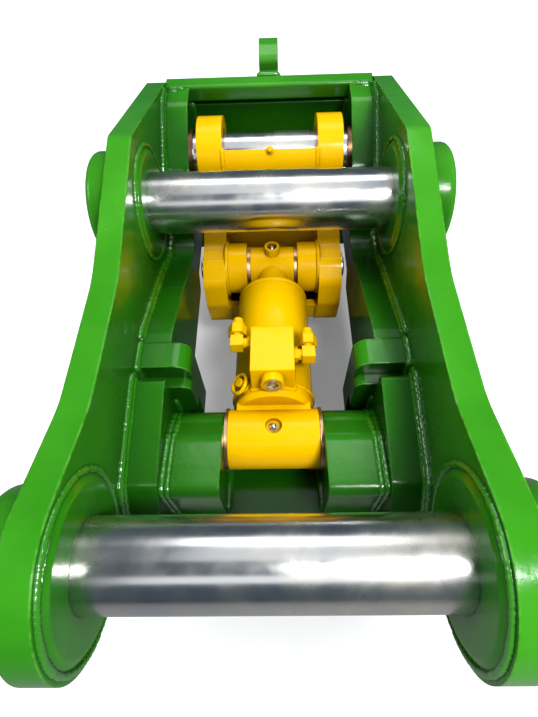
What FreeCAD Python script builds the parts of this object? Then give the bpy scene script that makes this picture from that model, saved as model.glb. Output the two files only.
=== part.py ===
# Hydraulic quick coupler for a twenty tonne excavator.
# X runs along the pins, Y from the stick pin to the rear, Z up.
# The origin is the centre of the stick pin. Millimetres.
import FreeCAD
import Part
import Sketcher
import math
import os

V = FreeCAD.Vector
doc = FreeCAD.newDocument("QuickCoupler")
sheet = doc.addObject("Spreadsheet::Sheet", "dims")

# Driving sizes
SIZES = [
    # stations of the machine's two pins
    ("pin_spacing", 456.0),
    ("pin_dia", 80.0),
    ("ear_gap", 316.0),
    ("pin_proud", 6.0),
    ("pin_fit", 0.05),
    # outer and inner side plates, with the weld-on rings at the pins
    ("side_thick", 29.0),
    ("inner_thick", 38.0),
    ("eye_radius", 87.0),
    ("collar_step", 5.0),
    ("stick_collar_radius", 80.0),
    ("link_collar_radius", 74.0),
    ("collar_bevel", 10.0),
    ("boss_radius", 68.0),
    ("boss_length", 37.0),
    ("boss_round", 9.0),
    ("top_waist", 51.0),
    ("link_crest", 99.0),
    ("tail_length", 102.0),
    ("rear_top", 33.0),
    ("belly", 195.0),
    # cross members of the frame
    ("gusset_y", 223.0),
    ("gusset_thick", 35.0),
    ("gusset_inner", 100.0),
    ("gusset_top", 46.0),
    ("gusset_sill", 52.0),
    ("inset_thick", 15.0),
    ("inset_top", 70.0),
    ("cross_height", 25.0),
    ("cross_thick", 28.0),
    ("wrap_radius", 88.0),
    ("wrap_thick", 12.0),
    ("lift_thick", 30.0),
    ("lift_hole_dia", 36.0),
    # front jaw
    ("jaw_y", 112.0),
    ("jaw_drop", 226.0),
    ("jaw_radius", 41.0),
    ("jaw_wall", 18.0),
    ("jaw_lip", 33.0),
    # hook and its shaft
    ("shaft_behind", 156.0),
    ("shaft_drop", 36.0),
    ("shaft_dia", 65.0),
    ("hub_radius", 56.0),
    ("hub_shim", 6.0),
    ("hub_float", 9.0),
    ("shim_wall", 6.0),
    ("arm_inner", 72.0),
    ("arm_thick", 35.0),
    ("seat_ahead", 89.0),
    ("seat_below", 174.0),
    ("hook_wall", 26.0),
    ("hook_web", 12.0),
    ("seat_wall", 8.0),
    ("mouth_room", 2.0),
    ("bush_wall", 5.0),
    # cylinder
    ("base_pin_y", 160.0),
    ("base_pin_drop", 120.0),
    ("base_pin_dia", 40.0),
    ("base_eye_radius", 37.0),
    ("base_eye_width", 110.0),
    ("base_washer", 3.4),
    ("foot_proud", 8.5),
    ("lug_thick", 54.0),
    ("lug_radius", 34.0),
    ("barrel_dia", 103.0),
    ("barrel_bore", 84.0),
    ("rod_bare", 11.0),
    ("cap_start", 34.0),
    ("cap_thick", 18.0),
    ("gland_thick", 26.0),
    ("gland_spigot", 28.0),
    ("rod_dia", 40.0),
    ("piston_width", 30.0),
    # rod end
    ("rod_pin_ahead", 147.0),
    ("rod_pin_below", 106.0),
    ("rod_pin_dia", 34.0),
    ("rod_eye_radius", 33.0),
    ("rod_eye_width", 68.0),
    ("rod_boss_radius", 40.0),
    ("rod_washer", 4.9),
    ("rod_neck", 60.0),
    ("swing_room", 4.0),
    # running gaps
    ("side_gap", 0.3),
    # valve block on the barrel
    ("block_width", 52.0),
    ("block_start", 44.0),
    ("block_length", 66.0),
    ("block_height", 37.0),
    ("fitting_dia", 14.0),
    ("fitting_hex", 24.0),
]


class Sizes:
    pass


s = Sizes()
for row, (name, value) in enumerate(SIZES, start=1):
    sheet.set("A%d" % row, name)
    sheet.set("B%d" % row, str(value))
    sheet.setAlias("B%d" % row, name)
    setattr(s, name, value)
doc.recompute()

# Values that follow from the driving sizes
plate_face = s.ear_gap / 2 + s.collar_step
outer_face = plate_face + s.side_thick
inner_face = plate_face - s.inner_thick
pin_end = outer_face + s.boss_length + s.pin_proud
shaft_y = s.pin_spacing + s.shaft_behind
rear_end = shaft_y + s.tail_length
hub_face = inner_face - s.hub_shim - s.hub_float
cross_front = rear_end - s.cross_thick
cross_top = s.rear_top
cross_foot = cross_top - s.cross_height
jaw_z = -s.jaw_drop
shaft_z = -s.shaft_drop
seat_y = shaft_y - s.seat_ahead
seat_z = shaft_z - s.seat_below
base_z = -s.base_pin_drop
rod_y = shaft_y - s.rod_pin_ahead
rod_z = shaft_z - s.rod_pin_below
lug_face = s.base_eye_width / 2 + s.base_washer + 2 * s.side_gap
rod_boss_face = s.rod_eye_width / 2 + s.rod_washer + 2 * s.side_gap
arm_outer = s.arm_inner + s.arm_thick
gusset_rear = s.gusset_y + s.gusset_thick
barrel_radius = s.barrel_dia / 2
cap_end = s.cap_start + s.cap_thick
tilt = math.degrees(math.atan2(rod_z - base_z, rod_y - s.base_pin_y))
reach = math.hypot(rod_z - base_z, rod_y - s.base_pin_y)
neck_start = reach - s.rod_neck
barrel_end = neck_start - s.rod_bare

# The cylinder is drawn along its own Y axis from the base pin, then swung into place.
AT_FRAME = FreeCAD.Placement()
AT_CYLINDER = FreeCAD.Placement(V(0, s.base_pin_y, base_z), FreeCAD.Rotation(V(1, 0, 0), tilt))

nodes = []


# Sketch and feature helpers
def new_body(label, place=AT_FRAME):
    body = doc.addObject("PartDesign::Body", label)
    body.Label = label
    body.Placement = place
    nodes.append(body)
    return body


def new_sketch(body, role, shift=V(0, 0, 0), level=None):
    """Sketch on one of the body's own origin planes, moved along its normal to a bound level."""
    sketch = body.newObject("Sketcher::SketchObject", "sketch")
    plane = next(item for item in body.Origin.OriginFeatures if item.Role == role)
    sketch.AttachmentSupport = [(plane, "")]
    sketch.MapMode = "FlatFace"
    sketch.AttachmentOffset = FreeCAD.Placement(shift, FreeCAD.Rotation())
    if level is not None:
        sketch.setExpression("AttachmentOffset.Base.z", level)
    return sketch


def draw(sketch, corners):
    """Closed outline through (a, b, radius) corners, each corner rounded by a tangent arc."""
    firsts = []
    lasts = []
    middles = []
    count = len(corners)
    for i in range(count):
        here = V(corners[i][0], corners[i][1], 0)
        back = (V(corners[i - 1][0], corners[i - 1][1], 0) - here).normalize()
        ahead_corner = corners[(i + 1) % count]
        ahead = (V(ahead_corner[0], ahead_corner[1], 0) - here).normalize()
        radius = corners[i][2]
        if radius > 0:
            half = back.getAngle(ahead) / 2
            cut = radius / math.tan(half)
            bisector = (back + ahead).normalize()
            firsts.append(here + back * cut)
            lasts.append(here + ahead * cut)
            middles.append(here + bisector * (radius / math.sin(half) - radius))
        else:
            firsts.append(here)
            lasts.append(here)
            middles.append(None)
    for i in range(count):
        if middles[i] is not None:
            sketch.addGeometry(Part.Arc(firsts[i], middles[i], lasts[i]))
        following = firsts[(i + 1) % count]
        if (following - lasts[i]).Length > 1e-4:
            sketch.addGeometry(Part.LineSegment(lasts[i], following))


def eye_corner(a, b, radius, side):
    """Corner that, rounded by radius, carries a line from (a, b) tangent round an eye about (0, 0)."""
    turn = math.atan2(b, a) + side * math.acos(radius / math.hypot(a, b))
    touch_a = radius * math.cos(turn)
    touch_b = radius * math.sin(turn)
    return (-radius, touch_b + (b - touch_b) * (-radius - touch_a) / (a - touch_a), radius)


def circle(sketch, a, b, radius):
    """Circle whose radius is an expression of the sheet's sizes."""
    value = sketch.evalExpression(radius)
    index = sketch.addGeometry(Part.Circle(V(a, b, 0), V(0, 0, 1), value))
    rule = sketch.addConstraint(Sketcher.Constraint("Radius", index, value))
    sketch.setExpression("Constraints[%d]" % rule, radius)


def pad(body, sketch, length):
    feature = body.newObject("PartDesign::Pad", "pad")
    feature.Profile = sketch
    feature.setExpression("Length", length)
    return feature


def pocket(body, sketch, length, reverse=True):
    feature = body.newObject("PartDesign::Pocket", "pocket")
    feature.Profile = sketch
    feature.Reversed = reverse
    feature.setExpression("Length", length)
    return feature


def revolve(body, sketch, axis):
    feature = body.newObject("PartDesign::Revolution", "turn")
    feature.Profile = sketch
    feature.ReferenceAxis = (sketch, [axis])
    feature.Angle = 360
    return feature


def slab(label, start, thick, outline=None, discs=(), holes=(), cuts=(), place=AT_FRAME):
    """Plate standing across X from start, with round eyes added and round holes and shapes cut."""
    body = new_body(label, place)
    if outline:
        sketch = new_sketch(body, "YZ_Plane", level=start)
        draw(sketch, outline)
        pad(body, sketch, thick)
    for a, b, radius in discs:
        sketch = new_sketch(body, "YZ_Plane", level=start)
        circle(sketch, a, b, radius)
        pad(body, sketch, thick)
    for cut in cuts:
        sketch = new_sketch(body, "YZ_Plane", level=start)
        draw(sketch, cut)
        pocket(body, sketch, thick)
    for a, b, radius in holes:
        sketch = new_sketch(body, "YZ_Plane", level=start)
        circle(sketch, a, b, radius)
        pocket(body, sketch, thick)
    return body


def turned(label, y, z, profile):
    """Round piece on an axis along X through (y, z), from (x, radius, rounding) corners."""
    body = new_body(label, FreeCAD.Placement(V(0, y, z), FreeCAD.Rotation()))
    sketch = new_sketch(body, "XY_Plane")
    draw(sketch, profile)
    revolve(body, sketch, "H_Axis")
    return body


def lathe(label, profile):
    """Round piece on the cylinder's axis, from (radius, distance, rounding) corners."""
    body = new_body(label, AT_CYLINDER)
    sketch = new_sketch(body, "XY_Plane")
    draw(sketch, profile)
    revolve(body, sketch, "V_Axis")
    return body


def ring_profile(start, end, inner, outer, round_inner=0.0, round_outer=0.0):
    return [(start, inner, 0), (end, inner, 0), (end, outer, round_outer), (start, outer, round_inner)]


def node_of(label, feature):
    feature.Label = label
    nodes.append(feature)
    return feature


def rod(radius, height, base, direction):
    """Plain round bar as a primitive, its radius and height given as expressions."""
    bar = doc.addObject("Part::Cylinder", "bar")
    bar.setExpression("Radius", radius)
    bar.setExpression("Height", height)
    bar.Placement = FreeCAD.Placement(base, FreeCAD.Rotation(V(0, 0, 1), direction))
    return bar


def hexagon(radius, height, base, direction):
    prism = doc.addObject("Part::Prism", "hexagon")
    prism.Polygon = 6
    prism.setExpression("Circumradius", radius)
    prism.setExpression("Height", height)
    prism.Placement = FreeCAD.Placement(base, FreeCAD.Rotation(V(0, 0, 1), direction))
    return prism


def fuse(label, pieces, place=AT_FRAME):
    whole = doc.addObject("Part::MultiFuse", label)
    whole.Shapes = pieces
    whole.Placement = place
    return node_of(label, whole)


def cut_from(label, base, tool, place=AT_FRAME):
    left = doc.addObject("Part::Cut", label)
    left.Base = base
    left.Tool = tool
    left.Placement = place
    return node_of(label, left)


def ring_sector(radius_in, radius_out, low, high, y, z):
    """Outline of a bent plate about (y, z) between two angles, as arcs and end lines."""
    def at(radius, angle):
        turn = math.radians(angle)
        return V(y + radius * math.cos(turn), z + radius * math.sin(turn), 0)
    middle = (low + high) / 2
    return [
        Part.Arc(at(radius_out, low), at(radius_out, middle), at(radius_out, high)),
        Part.LineSegment(at(radius_out, high), at(radius_in, high)),
        Part.Arc(at(radius_in, high), at(radius_in, middle), at(radius_in, low)),
        Part.LineSegment(at(radius_in, low), at(radius_out, low)),
    ]


def bent_plate(label, start, width, radius_in, radius_out, low, high, y, z):
    body = new_body(label)
    sketch = new_sketch(body, "YZ_Plane", level=start)
    sketch.addGeometry(ring_sector(radius_in, radius_out, low, high, y, z), False)
    pad(body, sketch, width)
    return body


SIDES = (("left", -1), ("right", 1))


def from_face(sign, face, thick):
    """Bound start of a plate whose near face stands at +face or -face."""
    return "%s" % face if sign > 0 else "-(%s) - (%s)" % (face, thick)


PLATE_FACE = "dims.ear_gap / 2 + dims.collar_step"
OUTER_FACE = PLATE_FACE + " + dims.side_thick"
INNER_FACE = PLATE_FACE + " - dims.inner_thick"
PIN_HOLE = "dims.pin_dia / 2 + dims.pin_fit"
SHAFT_HOLE = "dims.shaft_dia / 2 + dims.pin_fit"
BASE_HOLE = "dims.base_pin_dia / 2 + dims.pin_fit"
ROD_PIN_HOLE = "dims.rod_pin_dia / 2 + dims.pin_fit"
HUB_FACE = "(%s - dims.hub_shim - dims.hub_float)" % INNER_FACE
LUG_FACE = "(dims.base_eye_width / 2 + dims.base_washer + 2 * dims.side_gap)"
ROD_FACE = "(dims.rod_eye_width / 2 + dims.rod_washer + 2 * dims.side_gap)"

# Outer side plates: a round eye at the stick pin, a waisted top edge that climbs to a crest
# over the link pin and falls straight to the rear.
side_outline = [
    eye_corner(125, s.top_waist + 3, s.eye_radius, 1),
    (125, s.top_waist + 3, 110),
    (275, s.top_waist, 140),
    (s.pin_spacing + 3, s.link_crest, 22),
    (rear_end - 9, s.rear_top, 18),
    (rear_end + 2, shaft_z, 30),
    (rear_end - 14, shaft_z - 74, 50),
    (shaft_y - 50, -s.belly + 45, 80),
    (165, -s.belly + 45, 90),
    eye_corner(165, -s.belly + 45, s.eye_radius, -1),
]
for side, sign in SIDES:
    slab(
        "side_plate_" + side,
        from_face(sign, PLATE_FACE, "dims.side_thick"),
        "dims.side_thick",
        side_outline,
        holes=[(0, 0, PIN_HOLE), (s.pin_spacing, 0, PIN_HOLE), (shaft_y, shaft_z, SHAFT_HOLE)],
    )

# Inner plates: welded inside the outer ones, dipped under the link pin so that the link
# can swing, with the fixed front jaw below and the guard horn of the rear mouth behind.
dip = -s.eye_radius - 25
throat_top = jaw_z + s.jaw_radius
throat_foot = jaw_z - s.jaw_radius
jaw_foot = throat_foot - s.jaw_lip
sill = -s.gusset_top - s.gusset_sill
mouth_roof = seat_z + s.jaw_radius + s.mouth_room
inner_outline = [
    (84, -62, 10),
    (s.gusset_y - s.inset_thick - 3, -s.gusset_top + 5, 6),
    (s.gusset_y - s.inset_thick, sill, 0),
    (gusset_rear, sill, 0),
    (gusset_rear, -s.gusset_top - 2, 3),
    (gusset_rear + 18, -s.gusset_top - 3, 20),
    (s.pin_spacing - 84, -76, 60),
    (s.pin_spacing + 12, dip, 30),
    (s.pin_spacing + 46, dip, 30),
    (s.pin_spacing + 106, -26, 40),
    (shaft_y + 33, cross_top - 3, 40),
    (cross_front, cross_top - 2, 0),
    (cross_front, cross_foot, 0),
    (rear_end - 2, cross_foot, 4),
    (rear_end - 2, -60, 20),
    (rear_end - 14, -150, 20),
    (rear_end - 18, jaw_foot + 15, 12),
    (shaft_y + 40, jaw_foot + 15, 12),
    (shaft_y + 40, mouth_roof, 22),
    (seat_y - 43, mouth_roof, 8),
    (seat_y - 58, -s.belly, 10),
    (s.jaw_y + 138, -s.belly, 40),
    (s.jaw_y + 84, jaw_z - 36, 30),
    (s.jaw_y + 58, jaw_foot, 25),
    (s.jaw_y - 64, jaw_foot, 14),
    (s.jaw_y - 68, -112, 12),
]
jaw_mouth = [
    (s.jaw_y - 90, throat_top, 0),
    (s.jaw_y + s.jaw_radius, throat_top, s.jaw_radius),
    (s.jaw_y + s.jaw_radius, throat_foot, s.jaw_radius),
    (s.jaw_y - 90, throat_foot, 0),
]
for side, sign in SIDES:
    slab(
        "inner_plate_" + side,
        from_face(sign, INNER_FACE, "dims.inner_thick"),
        "dims.inner_thick",
        inner_outline,
        cuts=[jaw_mouth],
        holes=[(shaft_y, shaft_z, SHAFT_HOLE)],
    )

# Saddle of the front jaw: one bent plate across both inner plates, lining the throat.
wall_top = throat_top + s.jaw_wall
wall_foot = throat_foot - s.jaw_wall
wall_radius = s.jaw_radius + s.jaw_wall
saddle_outline = [
    (s.jaw_y - 50, wall_top, 5),
    (s.jaw_y + wall_radius, wall_top, wall_radius),
    (s.jaw_y + wall_radius, wall_foot, wall_radius),
    (s.jaw_y - 44, wall_foot, 5),
    (s.jaw_y - 44, jaw_z, 0),
    (s.jaw_y - 50, jaw_z, 0),
]
slab(
    "front_jaw_saddle",
    "-(%s)" % INNER_FACE,
    "2 * (%s)" % INNER_FACE,
    saddle_outline,
    cuts=[jaw_mouth],
)

# Lugs that carry the foot of the cylinder, standing on the jaw saddle.
lug_outline = [
    (s.base_pin_y - 84, base_z + 54, 12),
    (s.base_pin_y - 18, base_z + 49, 40),
    (s.base_pin_y + 27, base_z + 22, 30),
    (s.base_pin_y + 40, base_z - 20, 12),
    (s.gusset_y, base_z - 58, 0),
    (s.gusset_y, jaw_z, 0),
    (s.jaw_y, jaw_z, 0),
    (s.base_pin_y - 84, base_z - 40, 8),
]
saddle_cut = [
    (s.jaw_y - 60, wall_top, 0),
    (s.jaw_y + wall_radius, wall_top, wall_radius),
    (s.jaw_y + wall_radius, wall_foot, wall_radius),
    (s.jaw_y - 60, wall_foot, 0),
]
for side, sign in SIDES:
    slab(
        "cylinder_lug_" + side,
        from_face(sign, LUG_FACE, "dims.lug_thick"),
        "dims.lug_thick",
        lug_outline,
        discs=[(s.base_pin_y, base_z, "dims.lug_radius")],
        cuts=[saddle_cut],
        holes=[(s.base_pin_y, base_z, BASE_HOLE)],
    )

# Cross gussets: they stand across the frame in front of the well, rounded where they meet it.
for side, sign in SIDES:
    body = new_body("cross_gusset_" + side)
    sketch = new_sketch(body, "XZ_Plane", level="-(dims.gusset_y + dims.gusset_thick)")
    corners = [
        (plate_face, -s.gusset_top, 0),
        (s.gusset_inner, -s.gusset_top, 20),
        (s.gusset_inner, -s.belly + 6, 12),
        (inner_face, -s.belly + 6, 0),
        (inner_face, sill, 0),
        (plate_face, sill, 0),
    ]
    draw(sketch, [(sign * a, b, radius) for a, b, radius in corners])
    pad(body, sketch, "dims.gusset_thick")

# Low plates set in front of the cross gussets, in the notches of the inner plates.
for side, sign in SIDES:
    body = new_body("lug_gusset_" + side)
    sketch = new_sketch(body, "XZ_Plane", level="-dims.gusset_y")
    corners = [
        (plate_face, -s.inset_top, 0),
        (s.gusset_inner, -s.inset_top, 12),
        (s.gusset_inner, base_z - 15, 8),
        (inner_face, base_z - 15, 0),
        (inner_face, sill, 0),
        (plate_face, sill, 0),
    ]
    draw(sketch, [(sign * a, b, radius) for a, b, radius in corners])
    pad(body, sketch, "dims.inset_thick")

# Rear cross plate, the bent guard behind the hook and the lifting eye.
slab(
    "rear_cross_plate",
    "-(%s)" % PLATE_FACE,
    "2 * (%s)" % PLATE_FACE,
    [
        (cross_front, cross_foot, 3),
        (rear_end, cross_foot, 3),
        (rear_end, cross_top, 5),
        (cross_front, cross_top, 5),
    ],
)
bent_plate(
    "rear_wrap_plate",
    "-(%s)" % INNER_FACE,
    "2 * (%s)" % INNER_FACE,
    s.wrap_radius,
    s.wrap_radius + s.wrap_thick,
    -46,
    24,
    shaft_y,
    shaft_z,
)
lift_y = rear_end + 41
lift_z = cross_top - 3
slab(
    "lifting_eye",
    "-dims.lift_thick / 2",
    "dims.lift_thick",
    [
        (rear_end, cross_foot + 3, 0),
        (rear_end, cross_top, 0),
        (rear_end + 7, cross_top + 2, 3),
        (rear_end + 7, lift_z + 24, 12),
        (lift_y - 8, lift_z + 33, 20),
        (lift_y + 24, lift_z + 33, 24),
        (lift_y + 34, lift_z - 10, 24),
        (lift_y + 8, lift_z - 34, 20),
    ],
    holes=[(lift_y, lift_z, "dims.lift_hole_dia / 2")],
)

# Rings at the machine pins: bevelled collars inside, long bosses outside.
for name, y, radius in (("stick", 0, s.stick_collar_radius), ("link", s.pin_spacing, s.link_collar_radius)):
    hole = s.pin_dia / 2 + s.pin_fit
    for side, sign in SIDES:
        face = s.ear_gap / 2
        turned(
            "%s_collar_%s" % (name, side),
            y,
            0,
            [
                (sign * plate_face, hole, 0),
                (sign * face, hole, 0),
                (sign * face, radius - s.collar_bevel, 1.5),
                (sign * plate_face, radius, 0),
            ],
        )
        turned(
            "%s_boss_%s" % (name, side),
            y,
            0,
            [
                (sign * outer_face, hole, 0),
                (sign * (outer_face + s.boss_length), hole, 0),
                (sign * (outer_face + s.boss_length), s.boss_radius, s.boss_round),
                (sign * outer_face, s.boss_radius, 0),
            ],
        )

# Machine pins and the hook shaft, with chamfered ends.
def bar_profile(half, radius, chamfer):
    return [
        (-half, 0, 0),
        (half, 0, 0),
        (half, radius - chamfer, 0),
        (half - chamfer, radius, 0),
        (-half + chamfer, radius, 0),
        (-half, radius - chamfer, 0),
    ]


turned("stick_pin", 0, 0, bar_profile(pin_end, s.pin_dia / 2, 4))
turned("link_pin", s.pin_spacing, 0, bar_profile(pin_end, s.pin_dia / 2, 4))
turned("hook_shaft", shaft_y, shaft_z, bar_profile(outer_face - 1, s.shaft_dia / 2, 3))

# Covers that keep the hook shaft in place, each held by two bolts.
cover_radius = s.shaft_dia / 2 + 20
cover_thick = 8
bolt_reach = s.shaft_dia / 2 + 11
covers = []
bolts = []
for side, sign in SIDES:
    start = V(sign * outer_face, shaft_y, shaft_z)
    covers.append(rod("dims.shaft_dia / 2 + 20", "8", start, V(sign, 0, 0)))
    for step in (-1, 1):
        seat = V(sign * (outer_face + cover_thick), shaft_y + step * bolt_reach, shaft_z)
        bolts.append(hexagon("10.5", "9", seat, V(sign, 0, 0)))
compound = doc.addObject("Part::Compound", "shaft_covers")
compound.Links = covers
node_of("shaft_covers", compound)
compound = doc.addObject("Part::Compound", "cover_bolts")
compound.Links = bolts
node_of("cover_bolts", compound)


def ring_pair(label, y, z, near, thick, inner, outer):
    """Two separate equal rings, kept as one node because they are the same part."""
    rings = []
    for sign in (1, -1):
        base = V(sign * near, y, z)
        outside = rod(outer, thick, base, V(sign, 0, 0))
        inside = rod(inner, thick, base, V(sign, 0, 0))
        ring = doc.addObject("Part::Cut", "ring")
        ring.Base = outside
        ring.Tool = inside
        rings.append(ring)
    both = doc.addObject("Part::Compound", label)
    both.Links = rings
    return node_of(label, both)


# Bronze rings that line the inner plates where the hook's hubs run up to them.
ring_pair(
    "hook_shims",
    shaft_y,
    shaft_z,
    inner_face - s.hub_shim,
    "dims.hub_shim",
    SHAFT_HOLE,
    "dims.shaft_dia / 2 + dims.shim_wall",
)

# Foot pin of the cylinder, its two retaining rings and its thrust washers.
turned("base_pin", s.base_pin_y, base_z, bar_profile(lug_face + s.lug_thick + 7, s.base_pin_dia / 2, 2))
ring_pair(
    "base_pin_rings",
    s.base_pin_y,
    base_z,
    lug_face + s.lug_thick,
    "4",
    "dims.base_pin_dia / 2",
    "dims.base_pin_dia / 2 + 6",
)
ring_pair(
    "base_washers",
    s.base_pin_y,
    base_z,
    s.base_eye_width / 2 + s.side_gap,
    "dims.base_washer",
    BASE_HOLE,
    "dims.base_eye_radius + 1.5",
)

# Hook arms: a round hub on the shaft, a belly that carries the rod pin, and the rear-facing
# mouth that closes on the attachment's second pin.
mouth_top = seat_z + s.jaw_radius
mouth_foot = seat_z - s.jaw_radius
hook_foot = mouth_foot - s.hook_wall
hook_outline = [
    (shaft_y - 48, shaft_z - 14, 0),
    (shaft_y - 90, rod_z + 58, 24),
    (rod_y + 12, rod_z + 38, 24),
    (rod_y - 24, rod_z + 37, 22),
    (rod_y - 48, rod_z + 16, 20),
    (rod_y - 55, rod_z - 28, 30),
    (rod_y - 46, rod_z - 78, 45),
    (seat_y - 66, hook_foot + 10, 40),
    (seat_y - 20, hook_foot, 20),
    (seat_y + 32, hook_foot, 14),
    (seat_y + 46, mouth_foot + 3, 6),
    (seat_y + 46, mouth_top - 3, 6),
    (shaft_y + 26, shaft_z - 78, 40),
    (shaft_y + 50, shaft_z - 20, 0),
]
hook_mouth = [
    (seat_y - s.jaw_radius, mouth_top, s.jaw_radius),
    (seat_y + 25, mouth_top, 0),
    (seat_y + 90, mouth_top + 12, 0),
    (seat_y + 90, mouth_foot - 12, 0),
    (seat_y + 25, mouth_foot, 0),
    (seat_y - s.jaw_radius, mouth_foot, s.jaw_radius),
]
for side, sign in SIDES:
    body = new_body("hook_arm_" + side)
    sketch = new_sketch(body, "YZ_Plane", level=from_face(sign, "dims.arm_inner", "dims.arm_thick"))
    draw(sketch, hook_outline)
    pad(body, sketch, "dims.arm_thick")
    sketch = new_sketch(
        body, "YZ_Plane", level=from_face(sign, "dims.arm_inner", HUB_FACE + " - dims.arm_inner")
    )
    circle(sketch, shaft_y, shaft_z, "dims.hub_radius")
    pad(body, sketch, HUB_FACE + " - dims.arm_inner")
    sketch = new_sketch(
        body, "YZ_Plane", level=from_face(sign, "dims.arm_inner", HUB_FACE + " - dims.arm_inner")
    )
    draw(sketch, hook_mouth)
    pocket(body, sketch, HUB_FACE + " - dims.arm_inner")
    sketch = new_sketch(
        body, "YZ_Plane", level=from_face(sign, "dims.arm_inner", HUB_FACE + " - dims.arm_inner")
    )
    circle(sketch, shaft_y, shaft_z, SHAFT_HOLE + " + dims.bush_wall")
    pocket(body, sketch, HUB_FACE + " - dims.arm_inner")
    sketch = new_sketch(body, "YZ_Plane", level=from_face(sign, "dims.arm_inner", "dims.arm_thick"))
    circle(sketch, rod_y, rod_z, ROD_PIN_HOLE)
    pocket(body, sketch, "dims.arm_thick")

ring_pair(
    "hook_bushes",
    shaft_y,
    shaft_z,
    s.arm_inner,
    HUB_FACE + " - dims.arm_inner",
    SHAFT_HOLE,
    SHAFT_HOLE + " + dims.bush_wall",
)

# Webs that tie the two arms: a half tube in front of the shaft, and the lining of the mouth with
# the sloping web that joins them behind the rod end.
bent_plate(
    "hook_saddle",
    "-dims.arm_inner",
    "2 * dims.arm_inner",
    s.shaft_dia / 2 + 4,
    s.hub_radius - 2,
    139,
    256,
    shaft_y,
    shaft_z,
)
web_turn = math.radians(58)
web_near = s.rod_boss_radius + 1.5
web_far = web_near + s.hook_web


def beside_rod(along, away):
    """Point beside the rod pin, along the sloping web and away from the pin."""
    return (
        rod_y + along * math.cos(web_turn) + away * math.sin(web_turn),
        rod_z + along * math.sin(web_turn) - away * math.cos(web_turn),
        0,
    )


body = new_body("hook_jaw_web")
sketch = new_sketch(body, "YZ_Plane", level="-dims.arm_inner")
draw(
    sketch,
    [beside_rod(-10, web_near), beside_rod(-10, web_far), beside_rod(135, web_far), beside_rod(135, web_near)],
)
pad(body, sketch, "2 * dims.arm_inner")
for a, b, radius in (
    (shaft_y, shaft_z, "dims.hub_radius - 2"),
    (seat_y, seat_z, "dims.jaw_radius + dims.seat_wall / 2"),
):
    sketch = new_sketch(body, "YZ_Plane", level="-dims.arm_inner")
    circle(sketch, a, b, radius)
    pocket(body, sketch, "2 * dims.arm_inner")
sketch = new_sketch(body, "YZ_Plane", level="-dims.arm_inner")
sketch.addGeometry(
    ring_sector(s.jaw_radius, s.jaw_radius + s.seat_wall, 100, 262, seat_y, seat_z), False
)
pad(body, sketch, "2 * dims.arm_inner")

# Belly plate that closes the hook in front, below the cylinder.
slab(
    "hook_belly_plate",
    "-dims.arm_inner",
    "2 * dims.arm_inner",
    [
        (rod_y - 50, rod_z - 36, 0),
        (rod_y - 43, rod_z - 78, 20),
        (seat_y - 64, hook_foot + 14, 20),
        (seat_y - 20, hook_foot + 4, 0),
        (seat_y - 20, hook_foot + 4 + s.hook_web, 0),
        (seat_y - 60, hook_foot + 14 + s.hook_web, 12),
        (rod_y - 43 + s.hook_web, rod_z - 74, 12),
        (rod_y - 50 + s.hook_web, rod_z - 36, 0),
    ],
)

# Bosses that bring the arms in to the rod end, with the pin, its rings and washers.
for side, sign in SIDES:
    slab(
        "rod_boss_" + side,
        from_face(sign, ROD_FACE, "dims.arm_inner - " + ROD_FACE),
        "dims.arm_inner - " + ROD_FACE,
        discs=[(rod_y, rod_z, "dims.rod_boss_radius")],
        holes=[(rod_y, rod_z, ROD_PIN_HOLE)],
    )
turned("rod_pin", rod_y, rod_z, bar_profile(arm_outer + 7, s.rod_pin_dia / 2, 2))
ring_pair(
    "rod_pin_rings",
    rod_y,
    rod_z,
    arm_outer,
    "4",
    "dims.rod_pin_dia / 2",
    "dims.rod_pin_dia / 2 + 5",
)
ring_pair(
    "rod_washers",
    rod_y,
    rod_z,
    s.rod_eye_width / 2 + s.side_gap,
    "dims.rod_washer",
    ROD_PIN_HOLE,
    "dims.rod_eye_radius + 1",
)

# Cylinder: the foot casting with its eye, the tube and the gland.
half_eye = "dims.base_eye_width / 2"
foot_face = min(barrel_radius - 1, s.base_eye_width / 2 - s.foot_proud)
body = new_body("barrel_base", AT_CYLINDER)
sketch = new_sketch(body, "YZ_Plane", level="-" + half_eye)
circle(sketch, 0, 0, "dims.base_eye_radius")
pad(body, sketch, "dims.base_eye_width")
sketch = new_sketch(body, "YZ_Plane", level="-(%s) + 9" % half_eye)
draw(
    sketch,
    [
        (0, s.base_eye_radius - 9, 0),
        (s.cap_start + 4, s.base_eye_radius - 13, 0),
        (s.cap_start + 4, -s.base_eye_radius + 13, 0),
        (0, -s.base_eye_radius + 9, 0),
    ],
)
pad(body, sketch, "dims.base_eye_width - 18")
sketch = new_sketch(body, "XY_Plane")
draw(
    sketch,
    [
        (0, s.cap_start, 0),
        (foot_face, s.cap_start, 0),
        (barrel_radius, s.cap_start + 5, 0),
        (barrel_radius, cap_end, 0),
        (0, cap_end, 0),
    ],
)
revolve(body, sketch, "V_Axis")
sketch = new_sketch(body, "XY_Plane", level="dims.base_eye_radius + 3")
circle(sketch, 0, 0, "10")
pocket(body, sketch, "11", reverse=False)
sketch = new_sketch(body, "YZ_Plane", level="-" + half_eye)
circle(sketch, 0, 0, BASE_HOLE + " + dims.bush_wall")
pocket(body, sketch, "dims.base_eye_width")

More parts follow.
